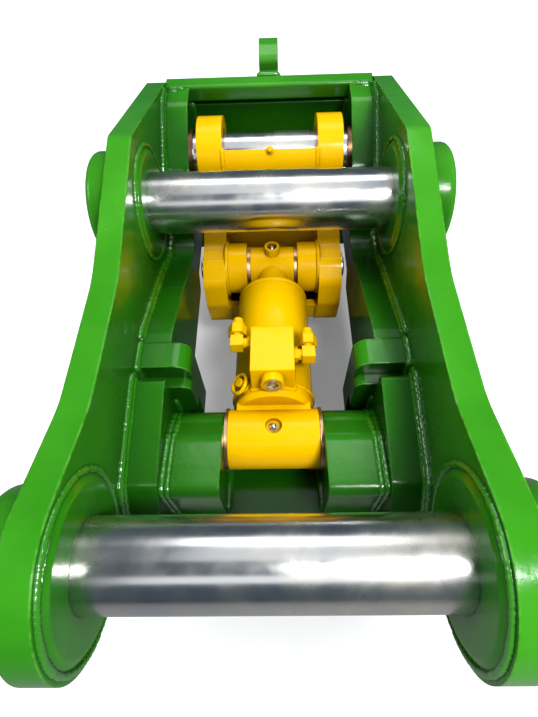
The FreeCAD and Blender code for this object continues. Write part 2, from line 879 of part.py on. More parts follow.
slab(
    "base_bush",
    "-" + half_eye,
    "dims.base_eye_width",
    discs=[(0, 0, BASE_HOLE + " + dims.bush_wall")],
    holes=[(0, 0, BASE_HOLE)],
    place=AT_CYLINDER,
)
bore_radius = s.barrel_bore / 2
gland_start = barrel_end - s.gland_thick
rod_radius = s.rod_dia / 2
lathe(
    "barrel_tube",
    [
        (bore_radius, cap_end, 0),
        (barrel_radius, cap_end, 0),
        (barrel_radius, gland_start, 0),
        (bore_radius, gland_start, 0),
    ],
)
lathe(
    "gland",
    [
        (rod_radius + s.pin_fit, gland_start - s.gland_spigot, 0),
        (bore_radius, gland_start - s.gland_spigot, 0),
        (bore_radius, gland_start, 0),
        (barrel_radius, gland_start, 0),
        (barrel_radius, barrel_end - 10, 0),
        (barrel_radius - 2, barrel_end - 9, 0),
        (barrel_radius - 2, barrel_end - 7, 0),
        (barrel_radius, barrel_end - 6, 0),
        (barrel_radius, barrel_end, 3),
        (rod_radius + 8, barrel_end, 0),
        (rod_radius + 8, barrel_end - 6, 0),
        (rod_radius + s.pin_fit, barrel_end - 6, 0),
    ],
)
lathe(
    "rod_wiper",
    [
        (rod_radius + s.pin_fit, barrel_end - 6, 0),
        (rod_radius + 8, barrel_end - 6, 0),
        (rod_radius + 8, barrel_end, 0),
        (rod_radius + 4, barrel_end + 2, 1),
        (rod_radius + s.pin_fit, barrel_end + 2, 0),
    ],
)

# Rod, piston and rod eye. The eye's hole leaves room for the pin to ride through its arc.
piston_start = cap_end + 10
piston_end = piston_start + s.piston_width
spigot = rod_radius - 6
lathe(
    "piston_rod",
    [
        (0, piston_start, 0),
        (spigot, piston_start, 0),
        (spigot, piston_end, 0),
        (rod_radius, piston_end, 0),
        (rod_radius, neck_start, 0),
        (0, neck_start, 0),
    ],
)
lathe(
    "piston",
    [
        (spigot, piston_start, 0),
        (bore_radius - s.pin_fit, piston_start, 0),
        (bore_radius - s.pin_fit, piston_end, 0),
        (spigot, piston_end, 0),
    ],
)
body = new_body("rod_eye", AT_CYLINDER)
sketch = new_sketch(body, "YZ_Plane", level="-dims.rod_eye_width / 2")
circle(sketch, reach, 0, "dims.rod_eye_radius")
pad(body, sketch, "dims.rod_eye_width")
sketch = new_sketch(body, "XY_Plane")
draw(
    sketch,
    [
        (0, neck_start, 0),
        (rod_radius + 5, neck_start, 2),
        (rod_radius + 5, neck_start + 7, 0),
        (rod_radius + 7.5, neck_start + 7, 0),
        (rod_radius + 7.5, neck_start + 12, 0),
        (rod_radius + 5, neck_start + 12, 0),
        (rod_radius + 5, reach - s.rod_eye_radius + 14, 0),
        (0, reach - s.rod_eye_radius + 14, 0),
    ],
)
revolve(body, sketch, "V_Axis")
sketch = new_sketch(body, "XY_Plane", level="dims.rod_eye_radius - 8")
circle(sketch, 0, reach, "11.5")
pad(body, sketch, "20")
sketch = new_sketch(body, "XY_Plane", level="dims.rod_eye_radius + 12")
circle(sketch, 0, reach, "7.5")
pocket(body, sketch, "8", reverse=False)
sketch = new_sketch(body, "YZ_Plane", level="-dims.rod_eye_width / 2")
circle(sketch, reach, 0, "dims.rod_pin_dia / 2 + dims.swing_room")
pocket(body, sketch, "dims.rod_eye_width")


# Grease nipples, each standing on the floor of its guard.
def nipple(label, distance, floor):
    foot = hexagon("5", "3", V(0, distance, floor), V(0, 0, 1))
    stem = rod("2.6", "7", V(0, distance, floor), V(0, 0, 1))
    return fuse(label, [foot, stem], AT_CYLINDER)


nipple("base_grease_nipple", 0, s.base_eye_radius - 8)
nipple("rod_grease_nipple", reach, s.rod_eye_radius + 4)

# Valve block saddled on the barrel, with its cartridge plug.
block_top = barrel_radius + s.block_height
block_end = s.block_start + s.block_length
body = new_body("valve_block", AT_CYLINDER)
sketch = new_sketch(body, "YZ_Plane", level="-dims.block_width / 2")
draw(
    sketch,
    [
        (s.block_start, barrel_radius - 14, 0),
        (block_end, barrel_radius - 14, 0),
        (block_end, block_top, 2),
        (s.block_start, block_top, 2),
    ],
)
pad(body, sketch, "dims.block_width")
sketch = new_sketch(body, "XY_Plane")
draw(
    sketch,
    [
        (0, s.block_start - 5, 0),
        (barrel_radius, s.block_start - 5, 0),
        (barrel_radius, block_end + 5, 0),
        (0, block_end + 5, 0),
    ],
)
groove = body.newObject("PartDesign::Groove", "groove")
groove.Profile = sketch
groove.ReferenceAxis = (sketch, ["V_Axis"])
groove.Angle = 360

cartridge_length = 10
plug_seat = V(0, s.block_start, block_top - 17.7)
cartridge = rod("14", "%d" % cartridge_length, plug_seat, V(0, -1, 0))
socket = hexagon("8", "6", plug_seat + V(0, -cartridge_length, 0), V(0, 1, 0))
cut_from("valve_cartridge", cartridge, socket, AT_CYLINDER)

# Elbow fittings on both flanks of the block: a forged knee with a hexagon nut, its mouth turned
# to the rear and capped.
block_side = s.block_width / 2
fitting_out = block_side + 18
for side, sign, along in (("left", -1, s.block_start + 53), ("right", 1, s.block_start + 34)):
    level = block_top - 18
    knee_size = s.fitting_dia + 2
    stub = rod("dims.fitting_dia / 2", "18", V(sign * block_side, along, level), V(sign, 0, 0))
    collar = hexagon("dims.fitting_dia / 2 + 3", "5", V(sign * block_side, along, level), V(sign, 0, 0))
    knee = doc.addObject("Part::Box", "knee")
    for side_name in ("Length", "Width", "Height"):
        knee.setExpression(side_name, "dims.fitting_dia + 2")
    knee.Placement.Base = V(sign * fitting_out - knee_size / 2, along - knee_size / 2, level - knee_size / 2)
    riser = rod("dims.fitting_dia / 2", "14", V(sign * fitting_out, along, level), V(0, 1, 0))
    nut = hexagon("dims.fitting_hex / 2", "14", V(sign * fitting_out, along + 12, level), V(0, 1, 0))
    fuse("elbow_" + side, [stub, collar, knee, riser, nut], AT_CYLINDER)
    cap_seat = V(sign * fitting_out, along + 26, level)
    skirt = rod("dims.fitting_dia / 2 + 1.5", "5", cap_seat, V(0, 1, 0))
    crown = rod("dims.fitting_dia / 2 - 0.5", "12", cap_seat, V(0, 1, 0))
    fuse("port_cap_" + side, [skirt, crown], AT_CYLINDER)

# Bleed plug low on the barrel's flank, and the ring that lies on its foot.
slope = math.radians(134)
out = V(math.cos(slope), 0, math.sin(slope))
bleed_seat = out * (barrel_radius + s.pin_fit) + V(0, s.block_start + 12, 0)
plug_head = rod("6", "11", bleed_seat, out)
plug_foot = rod("11", "3", bleed_seat, out)
fuse("bleed_plug", [plug_head, plug_foot], AT_CYLINDER)
ring_outside = rod("13.6", "4", bleed_seat + out * 3, out)
ring_inside = rod("8.8", "4", bleed_seat + out * 3, out)
cut_from("bleed_loop", ring_outside, ring_inside, AT_CYLINDER)

# Every feature must have rebuilt, and every piece must be a sound solid.
doc.recompute()
for item in doc.Objects:
    if "Invalid" in item.State or "Error" in item.State:
        raise RuntimeError("%s (%s) did not rebuild: %s" % (item.Name, item.Label, item.State))
for item in nodes:
    if item.Shape.isNull() or not item.Shape.isValid() or not item.Shape.Solids:
        raise RuntimeError("%s has no sound solid" % item.Label)

os.makedirs("parts", exist_ok=True)
for item in nodes:
    item.Shape.exportStep("parts/%s.step" % item.Label)
print("%d pieces, cylinder tilt %.3f degrees, length %.3f mm" % (len(nodes), tilt, reach))
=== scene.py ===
import math
import random

import bmesh
import bpy
from mathutils import Matrix, Vector


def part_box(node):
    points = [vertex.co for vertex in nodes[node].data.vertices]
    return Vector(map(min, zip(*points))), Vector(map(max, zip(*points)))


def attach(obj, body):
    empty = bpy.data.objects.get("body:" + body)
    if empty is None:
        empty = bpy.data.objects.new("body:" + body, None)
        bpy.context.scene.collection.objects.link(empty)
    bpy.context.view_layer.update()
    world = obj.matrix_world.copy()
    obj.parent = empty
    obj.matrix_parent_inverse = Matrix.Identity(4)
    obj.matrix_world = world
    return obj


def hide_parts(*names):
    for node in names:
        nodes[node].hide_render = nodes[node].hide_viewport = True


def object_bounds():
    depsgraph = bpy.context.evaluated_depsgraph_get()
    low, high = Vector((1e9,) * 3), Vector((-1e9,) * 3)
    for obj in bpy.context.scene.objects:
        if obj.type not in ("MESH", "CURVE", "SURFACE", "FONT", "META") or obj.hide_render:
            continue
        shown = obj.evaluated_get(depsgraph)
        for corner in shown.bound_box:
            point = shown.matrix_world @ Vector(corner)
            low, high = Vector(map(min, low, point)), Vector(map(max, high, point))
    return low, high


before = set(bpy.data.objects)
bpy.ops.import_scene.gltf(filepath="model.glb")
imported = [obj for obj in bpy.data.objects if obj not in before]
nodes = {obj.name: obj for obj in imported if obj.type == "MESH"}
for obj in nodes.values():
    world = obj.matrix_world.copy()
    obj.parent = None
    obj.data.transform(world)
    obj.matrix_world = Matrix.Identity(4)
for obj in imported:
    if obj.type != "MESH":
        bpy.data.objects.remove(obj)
cad_low, cad_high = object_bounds()

# The floor under the coupler: a plain pale showroom sheet. The camera sees it white away from
# the coupler and grey near it, partly its real soft shadow and partly a painted shadow, where the
# camera-only glow falls off towards the coupler; the steel mirrors it as a dimmer grey. It lies
# low enough for the hook at the end of its swing.
floor_level = cad_low.z - 0.008


def new_material(name):
    """An empty node material with its output."""
    material = bpy.data.materials.new(name)
    material.use_nodes = True
    material.node_tree.nodes.clear()
    out = material.node_tree.nodes.new("ShaderNodeOutputMaterial")
    return material, material.node_tree, out


def add(tree, kind, inputs=None, **settings):
    """A shader node with its settings and its plain input values."""
    node = tree.nodes.new(kind)
    for key, value in settings.items():
        setattr(node, key, value)
    for key, value in (inputs or {}).items():
        node.inputs[key].default_value = value
    return node


def mesh_piece(name, bm, body, material, smooth=True):
    """Turns a bmesh into a piece that rides on a body."""
    mesh = bpy.data.meshes.new(name)
    bm.to_mesh(mesh)
    bm.free()
    for face in mesh.polygons:
        face.use_smooth = smooth
    piece = bpy.data.objects.new(name, mesh)
    bpy.context.scene.collection.objects.link(piece)
    mesh.materials.append(material)
    if body is not None:
        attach(piece, body)
    return piece


floor_paint, tree, out = new_material("showroom_floor")
shader = add(tree, "ShaderNodeBsdfPrincipled", {"Roughness": 0.75, "Specular IOR Level": 0.1})
cloud = add(tree, "ShaderNodeTexNoise", {"Scale": 3.0, "Detail": 4.0})
tone = add(tree, "ShaderNodeMapRange", {"From Min": 0.3, "From Max": 0.7, "To Min": 0.50, "To Max": 0.54})
gray = add(tree, "ShaderNodeCombineColor")
tree.links.new(cloud.outputs["Fac"], tone.inputs["Value"])
for channel in ("Red", "Green", "Blue"):
    tree.links.new(tone.outputs["Result"], gray.inputs[channel])
tree.links.new(gray.outputs["Color"], shader.inputs["Base Color"])
lift = add(tree, "ShaderNodeEmission", {"Color": (1.0, 1.0, 1.0, 1)})
spot = add(tree, "ShaderNodeNewGeometry")
shrink = add(tree, "ShaderNodeVectorMath", operation="MULTIPLY")
shrink.inputs[1].default_value = (1.8, 0.8, 0.0)
away = add(tree, "ShaderNodeVectorMath", operation="DISTANCE")
away.inputs[1].default_value = (0.0, 0.29, 0.0)
# Painted shadow: the camera-only glow is weakest close to the coupler, so the floor there looks grey.
painted_shadow_glow = add(tree, "ShaderNodeMapRange", {"From Min": 0.24, "From Max": 0.75, "To Min": 0.17, "To Max": 1.0})
tree.links.new(spot.outputs["Position"], shrink.inputs[0])
tree.links.new(shrink.outputs["Vector"], away.inputs[0])
tree.links.new(away.outputs["Value"], painted_shadow_glow.inputs["Value"])
tree.links.new(painted_shadow_glow.outputs["Result"], lift.inputs["Strength"])
brighter = add(tree, "ShaderNodeAddShader")
tree.links.new(shader.outputs["BSDF"], brighter.inputs[0])
tree.links.new(lift.outputs["Emission"], brighter.inputs[1])
dim = add(tree, "ShaderNodeVectorMath", operation="SCALE")
dim.inputs["Scale"].default_value = 0.55
tree.links.new(gray.outputs["Color"], dim.inputs[0])
shade = add(tree, "ShaderNodeBsdfPrincipled", {"Roughness": 0.75, "Specular IOR Level": 0.1})
tree.links.new(dim.outputs["Vector"], shade.inputs["Base Color"])
seen = add(tree, "ShaderNodeLightPath")
pick = add(tree, "ShaderNodeMixShader")
tree.links.new(seen.outputs["Is Camera Ray"], pick.inputs["Fac"])
tree.links.new(shade.outputs["BSDF"], pick.inputs[1])
tree.links.new(brighter.outputs["Shader"], pick.inputs[2])
tree.links.new(pick.outputs["Shader"], out.inputs["Surface"])
bm = bmesh.new()
bmesh.ops.create_grid(bm, x_segments=8, y_segments=8, size=6.0)
bmesh.ops.translate(bm, verts=bm.verts, vec=(0, 0.3, floor_level))
floor = mesh_piece("showroom_floor", bm, None, floor_paint)

# Green frame: flame-cut plates, welded, then sprayed with a thick glossy enamel. The coat has
# orange peel and a slow drift of tone, a painted highlight along its edges and painted shade in the
# corners.
spray = bpy.data.node_groups.new("sprayed_coat", "ShaderNodeTree")
spray.interface.new_socket("Peel", in_out="INPUT", socket_type="NodeSocketFloat").default_value = 1.0
spray.interface.new_socket("Edge Width", in_out="INPUT",
                           socket_type="NodeSocketFloat").default_value = 0.003
spray.interface.new_socket("Shelter", in_out="INPUT",
                           socket_type="NodeSocketFloat").default_value = 0.92
spray.interface.new_socket("Drift", in_out="OUTPUT", socket_type="NodeSocketFloat")
spray.interface.new_socket("Edge", in_out="OUTPUT", socket_type="NodeSocketFloat")
spray.interface.new_socket("Dust", in_out="OUTPUT", socket_type="NodeSocketFloat")
spray.interface.new_socket("Painted Shade", in_out="OUTPUT", socket_type="NodeSocketFloat")
spray.interface.new_socket("Rough", in_out="OUTPUT", socket_type="NodeSocketFloat")
spray.interface.new_socket("Height", in_out="OUTPUT", socket_type="NodeSocketFloat")
spray.interface.new_socket("Soft Normal", in_out="OUTPUT", socket_type="NodeSocketVector")
g_in = spray.nodes.new("NodeGroupInput")
g_out = spray.nodes.new("NodeGroupOutput")
place = add(spray, "ShaderNodeTexCoord")
slow = add(spray, "ShaderNodeTexNoise", {"Scale": 7.0, "Detail": 3.0, "Roughness": 0.55})
spray.links.new(place.outputs["Object"], slow.inputs["Vector"])
drift = add(spray, "ShaderNodeMapRange", {"From Min": 0.3, "From Max": 0.7, "To Min": 0.0, "To Max": 1.0})
spray.links.new(slow.outputs["Fac"], drift.inputs["Value"])
spray.links.new(drift.outputs["Result"], g_out.inputs["Drift"])
round_off = add(spray, "ShaderNodeBevel", samples=6)
spray.links.new(g_in.outputs["Edge Width"], round_off.inputs["Radius"])
spray.links.new(round_off.outputs["Normal"], g_out.inputs["Soft Normal"])
true_normal = add(spray, "ShaderNodeNewGeometry")
facing = add(spray, "ShaderNodeVectorMath", operation="DOT_PRODUCT")
spray.links.new(round_off.outputs["Normal"], facing.inputs[0])
spray.links.new(true_normal.outputs["Normal"], facing.inputs[1])
# Painted highlight: where the bevelled normal leaves the true one, along rounded edges, the colour turns
# to the lighter rim colour, made ragged by noise.
edge = add(spray, "ShaderNodeMapRange", {"From Min": 0.99, "From Max": 0.80, "To Min": 0.0, "To Max": 1.0})
spray.links.new(facing.outputs["Value"], edge.inputs["Value"])
chatter = add(spray, "ShaderNodeTexNoise", {"Scale": 90.0, "Detail": 4.0, "Roughness": 0.7})
spray.links.new(place.outputs["Object"], chatter.inputs["Vector"])
ragged = add(spray, "ShaderNodeMapRange", {"From Min": 0.42, "From Max": 0.62})
spray.links.new(chatter.outputs["Fac"], ragged.inputs["Value"])
edge_highlight_mask = add(spray, "ShaderNodeMath", operation="MULTIPLY")
spray.links.new(edge.outputs["Result"], edge_highlight_mask.inputs[0])
spray.links.new(ragged.outputs["Result"], edge_highlight_mask.inputs[1])
spray.links.new(edge_highlight_mask.outputs["Value"], g_out.inputs["Edge"])
specks = add(spray, "ShaderNodeTexVoronoi", {"Scale": 140.0, "Randomness": 1.0})
spray.links.new(place.outputs["Object"], specks.inputs["Vector"])
speck = add(spray, "ShaderNodeMapRange", {"From Min": 0.10, "From Max": 0.04})
spray.links.new(specks.outputs["Distance"], speck.inputs["Value"])
sparse = add(spray, "ShaderNodeMapRange", {"From Min": 0.56, "From Max": 0.66})
spray.links.new(slow.outputs["Fac"], sparse.inputs["Value"])
dust = add(spray, "ShaderNodeMath", operation="MULTIPLY")
spray.links.new(speck.outputs["Result"], dust.inputs[0])
spray.links.new(sparse.outputs["Result"], dust.inputs[1])
spray.links.new(dust.outputs["Value"], g_out.inputs["Dust"])
# Painted shade: below the Shelter level of ambient occlusion the colour is pushed towards the corner
# colour, fully so half a unit lower.
shelter = add(spray, "ShaderNodeAmbientOcclusion", {"Distance": 0.20}, samples=6)
shade_ramp = add(spray, "ShaderNodeMapRange")
full_depth = add(spray, "ShaderNodeMath", operation="SUBTRACT")
full_depth.inputs[1].default_value = 0.5
spray.links.new(g_in.outputs["Shelter"], full_depth.inputs[0])
spray.links.new(g_in.outputs["Shelter"], shade_ramp.inputs["From Min"])
spray.links.new(full_depth.outputs["Value"], shade_ramp.inputs["From Max"])
spray.links.new(shelter.outputs["AO"], shade_ramp.inputs["Value"])
spray.links.new(shade_ramp.outputs["Result"], g_out.inputs["Painted Shade"])
smears = add(spray, "ShaderNodeTexNoise", {"Scale": 22.0, "Detail": 5.0, "Roughness": 0.6})
spray.links.new(place.outputs["Object"], smears.inputs["Vector"])
rough = add(spray, "ShaderNodeMapRange",
            {"From Min": 0.3, "From Max": 0.75, "To Min": 0.10, "To Max": 0.30})
spray.links.new(smears.outputs["Fac"], rough.inputs["Value"])
spray.links.new(rough.outputs["Result"], g_out.inputs["Rough"])
peel = add(spray, "ShaderNodeTexNoise", {"Scale": 160.0, "Detail": 2.0, "Roughness": 0.5})
spray.links.new(place.outputs["Object"], peel.inputs["Vector"])
sag = add(spray, "ShaderNodeTexNoise", {"Scale": 28.0, "Detail": 2.0})
spray.links.new(place.outputs["Object"], sag.inputs["Vector"])
sag_weight = add(spray, "ShaderNodeMath", operation="MULTIPLY")
sag_weight.inputs[1].default_value = 2.2
spray.links.new(sag.outputs["Fac"], sag_weight.inputs[0])
relief = add(spray, "ShaderNodeMath", operation="ADD")
spray.links.new(peel.outputs["Fac"], relief.inputs[0])
spray.links.new(sag_weight.outputs["Value"], relief.inputs[1])
scaled = add(spray, "ShaderNodeMath", operation="MULTIPLY")
spray.links.new(relief.outputs["Value"], scaled.inputs[0])
spray.links.new(g_in.outputs["Peel"], scaled.inputs[1])
spray.links.new(scaled.outputs["Value"], g_out.inputs["Height"])


def enamel(name, deep, bright, rim_highlight, corner, shelter, peel_height, edge_width, coat, gloss):
    """Glossy sprayed enamel: drifts from deep to bright, with the lighter rim as painted highlight at
    edges and corner as painted shade in recesses.
    """
    material, tree, out = new_material(name)
    coat_group = add(tree, "ShaderNodeGroup", node_tree=spray)
    coat_group.inputs["Peel"].default_value = 1.0
    coat_group.inputs["Edge Width"].default_value = edge_width
    coat_group.inputs["Shelter"].default_value = shelter
    colours = add(tree, "ShaderNodeMix", data_type="RGBA")
    colours.inputs["A"].default_value = (*deep, 1)
    colours.inputs["B"].default_value = (*bright, 1)
    tree.links.new(coat_group.outputs["Drift"], colours.inputs["Factor"])
    # Painted highlight: the lighter rim colour along the edges.
    edges = add(tree, "ShaderNodeMix", data_type="RGBA")
    edges.inputs["B"].default_value = (*rim_highlight, 1)
    tree.links.new(coat_group.outputs["Edge"], edges.inputs["Factor"])
    tree.links.new(colours.outputs["Result"], edges.inputs["A"])
    dusty = add(tree, "ShaderNodeMix", data_type="RGBA")
    dusty.inputs["B"].default_value = (rim_highlight[0] * 1.1, rim_highlight[1] * 1.1, rim_highlight[2] * 1.3 + 0.05, 1)
    tree.links.new(coat_group.outputs["Dust"], dusty.inputs["Factor"])
    tree.links.new(edges.outputs["Result"], dusty.inputs["A"])
    # Painted shade: in occluded corners and recesses the colour goes towards the corner colour.
    sunk = add(tree, "ShaderNodeMix", data_type="RGBA")
    sunk.inputs["B"].default_value = (*corner, 1)
    tree.links.new(coat_group.outputs["Painted Shade"], sunk.inputs["Factor"])
    tree.links.new(dusty.outputs["Result"], sunk.inputs["A"])
    bump = add(tree, "ShaderNodeBump", {"Strength": 0.5, "Distance": peel_height})
    tree.links.new(coat_group.outputs["Height"], bump.inputs["Height"])
    tree.links.new(coat_group.outputs["Soft Normal"], bump.inputs["Normal"])
    shader = add(tree, "ShaderNodeBsdfPrincipled", {
        "Coat Weight": coat, "Coat Roughness": 0.05, "IOR": 1.5, "Specular IOR Level": gloss})
    tree.links.new(sunk.outputs["Result"], shader.inputs["Base Color"])
    tree.links.new(coat_group.outputs["Rough"], shader.inputs["Roughness"])
    tree.links.new(bump.outputs["Normal"], shader.inputs["Normal"])
    tree.links.new(shader.outputs["BSDF"], out.inputs["Surface"])
    return material


def paint(names, material):
    """Gives CAD nodes a finish on their own material slots."""
    for name in names:
        mesh = nodes[name].data
        if not mesh.materials:
            mesh.materials.append(material)
        for i in range(len(mesh.materials)):
            mesh.materials[i] = material


# In both greens the fourth colour is the painted highlight along edges and the fifth the painted shade in
# corners and recesses.
green = enamel("green_enamel", (0.024, 0.225, 0.005), (0.052, 0.325, 0.014), (0.160, 0.56, 0.050),
               (0.005, 0.062, 0.001), 0.92, 0.00032, 0.0035, 0.08, 0.26)
green_weld = enamel("green_weld_enamel", (0.024, 0.225, 0.005), (0.052, 0.325, 0.014),
                    (0.100, 0.48, 0.025), (0.009, 0.105, 0.003), 0.92, 0.0016, 0.0010, 0.15, 0.8)
green_nodes = [name for name in nodes if name.startswith((
    "side_plate", "inner_plate", "stick_collar", "stick_boss", "link_collar", "link_boss",
    "cross_gusset", "lug_gusset", "cylinder_lug", "front_jaw", "rear_cross", "rear_wrap", "lifting_eye",
    "shaft_covers"))]
paint(green_nodes, green)


# Weld beads of the frame: laid by hand in the corners between the plates and painted over.
# Each is a swept tube with the ripples of the puddle.
def flat_outline(name, axis, level):
    """Closed outlines of a node's flat face that lies at level on that axis, as lists of points."""
    mesh = nodes[name].data
    keys = [tuple(round(c, 6) for c in v.co) for v in mesh.vertices]
    count = {}
    for face in mesh.polygons:
        corners = [keys[i] for i in face.vertices]
        if all(abs(corner[axis] - level) < 2e-5 for corner in corners):
            for i in range(len(corners)):
                pair = frozenset((corners[i], corners[(i + 1) % len(corners)]))
                if len(pair) == 2:
                    count[pair] = count.get(pair, 0) + 1
    ways = {}
    for pair, times in count.items():
        if times == 1:
            one, two = tuple(pair)
            ways.setdefault(one, []).append(two)
            ways.setdefault(two, []).append(one)
    loops = []
    unused = set(ways)
    while unused:
        start = min(unused)
        loop = [start]
        unused.discard(start)
        while True:
            onward = [p for p in sorted(ways[loop[-1]]) if p in unused]
            if not onward:
                break
            loop.append(onward[0])
            unused.discard(onward[0])
        loops.append([Vector(p) for p in loop])
    return loops


def resample(points, step, closed):
    """Points at even steps along a line of points."""
    line = list(points) + ([points[0]] if closed else [])
    out_points = [line[0].copy()]
    need = step
    for a, b in zip(line, line[1:]):
        length = (b - a).length
        done = 0.0
        while length - done >= need:
            done += need
            out_points.append(a.lerp(b, done / length))
            need = step
        need -= length - done
    if closed and (out_points[-1] - out_points[0]).length < step * 0.5:
        out_points.pop()
    return out_points


def runs(points, wanted, closed=True):
    """The stretches of a loop whose points are wanted, in order."""
    dense = resample(points, 0.0015, closed)
    flags = [wanted(p) for p in dense]
    if closed and all(flags):
        return [(dense, True)]
    if closed and any(flags):
        first = next(i for i in range(len(flags)) if flags[i] and not flags[i - 1])
        dense = dense[first:] + dense[:first]
        flags = flags[first:] + flags[:first]
    found = []
    current = []
    for point, flag in zip(dense, flags):
        if flag:
            current.append(point)
        elif current:
            found.append((current, False))
            current = []
    if current:
        found.append((current, False))
    return [item for item in found if len(item[0]) > 4]


def bead(name, points, radius, body, material, closed=False, seed=1):
    """A rippled weld bead along a line of points."""
    dice = random.Random(seed)
    path = resample(points, radius * 0.42, closed)
    if len(path) < 3:
        return None
    bm = bmesh.new()
    rings = []
    sides = 10
    count = len(path)
    pitch = radius * 1.5
    swell = 1.0
    for i, point in enumerate(path):
        ahead = path[(i + 1) % count] if closed else path[min(i + 1, count - 1)]
        behind = path[i - 1] if closed else path[max(i - 1, 0)]
        along = (ahead - behind).normalized()
        if i == 0:
            side = along.orthogonal().normalized()
        else:
            side = (side - along * side.dot(along)).normalized()
        other = along.cross(side)
        swell += (1.0 - swell) * 0.2 + dice.uniform(-0.06, 0.06)
        phase = (i * radius * 0.42 / pitch) % 1.0
        ripple = 1.0 + 0.13 * (abs(math.sin(math.pi * phase)) - 0.5)
        size = radius * swell * ripple
        if not closed:
            size *= min(1.0, 0.35 + 0.65 * min(i, count - 1 - i) / 3.0)
        rings.append([bm.verts.new(point + (side * math.cos(2 * math.pi * k / sides)
                                            + other * math.sin(2 * math.pi * k / sides)) * size)
                      for k in range(sides)])
    pairs = list(zip(rings, rings[1:])) + ([(rings[-1], rings[0])] if closed else [])
    for n, (low, high) in enumerate(pairs):
        shift = 0
        if closed and n == len(pairs) - 1:
            shift = min(range(sides), key=lambda k: (low[0].co - high[k].co).length)
        for k in range(sides):
            bm.faces.new((low[k], low[(k + 1) % sides],
                          high[(k + 1 + shift) % sides], high[(k + shift) % sides]))
    if not closed:
        bm.faces.new(list(reversed(rings[0])))
        bm.faces.new(rings[-1])
    bmesh.ops.recalc_face_normals(bm, faces=bm.faces)
    return mesh_piece(name, bm, body, material)


def pushed_out(line, grow, turn):
    """A line of points in the YZ plane, moved sideways by grow towards the outside of its loop."""
    moved = []
    for i, point in enumerate(line):
        along = (line[min(i + 3, len(line) - 1)] - line[max(i - 3, 0)]).normalized()
        moved.append(point + Vector((0, along.z, -along.y)) * grow * turn)
    return moved


def weld_along(prefix, node, axis, level, wanted, radius, body, material, seed=1, grow=0.0):
    """Beads along the wanted stretches of a node's flat outline, pushed outwards by grow."""
    made = 0
    for loop in flat_outline(node, axis, level):
        if len(loop) < 3:
            continue
        area = sum(a.y * b.z - b.y * a.z for a, b in zip(loop, loop[1:] + loop[:1]))
        for line, closed in runs(loop, wanted):
            made += 1
            if grow:
                line = pushed_out(line, grow, 1 if area > 0 else -1)
            bead("%s_%d" % (prefix, made), line, radius, body, material, closed, seed + made)
    return made


plate_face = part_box("stick_collar_right")[1].x
outer_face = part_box("stick_boss_right")[0].x
inner_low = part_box("inner_plate_right")[0]
cross_low, cross_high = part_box("rear_cross_plate")
gusset_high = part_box("cross_gusset_right")[1]
inset_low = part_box("lug_gusset_right")[0]
lug_low, lug_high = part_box("cylinder_lug_right")
saddle_low, saddle_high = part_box("front_jaw_saddle")
sill = gusset_high.z - 0.052
saddle_radius = 0.059
pin_radius = 0.040
weld_end = 0.014
jaw_y = saddle_high.y - saddle_radius
jaw_z = (saddle_low.z + saddle_high.z) / 2
pin_spacing = (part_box("link_pin")[0].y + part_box("link_pin")[1].y) / 2


def in_notch(p):
    """True where the cross gusset and the low plate in front of it stand on the inner plate."""
    return inset_low.y - 0.002 < p.y < gusset_high.y + 0.002 and p.z < gusset_high.z + 0.003


def at_rear_top(p):
    """True above the weld's end at the rear cross plate."""
    return p.y > cross_low.y - 0.006 and p.z > cross_high.z - weld_end


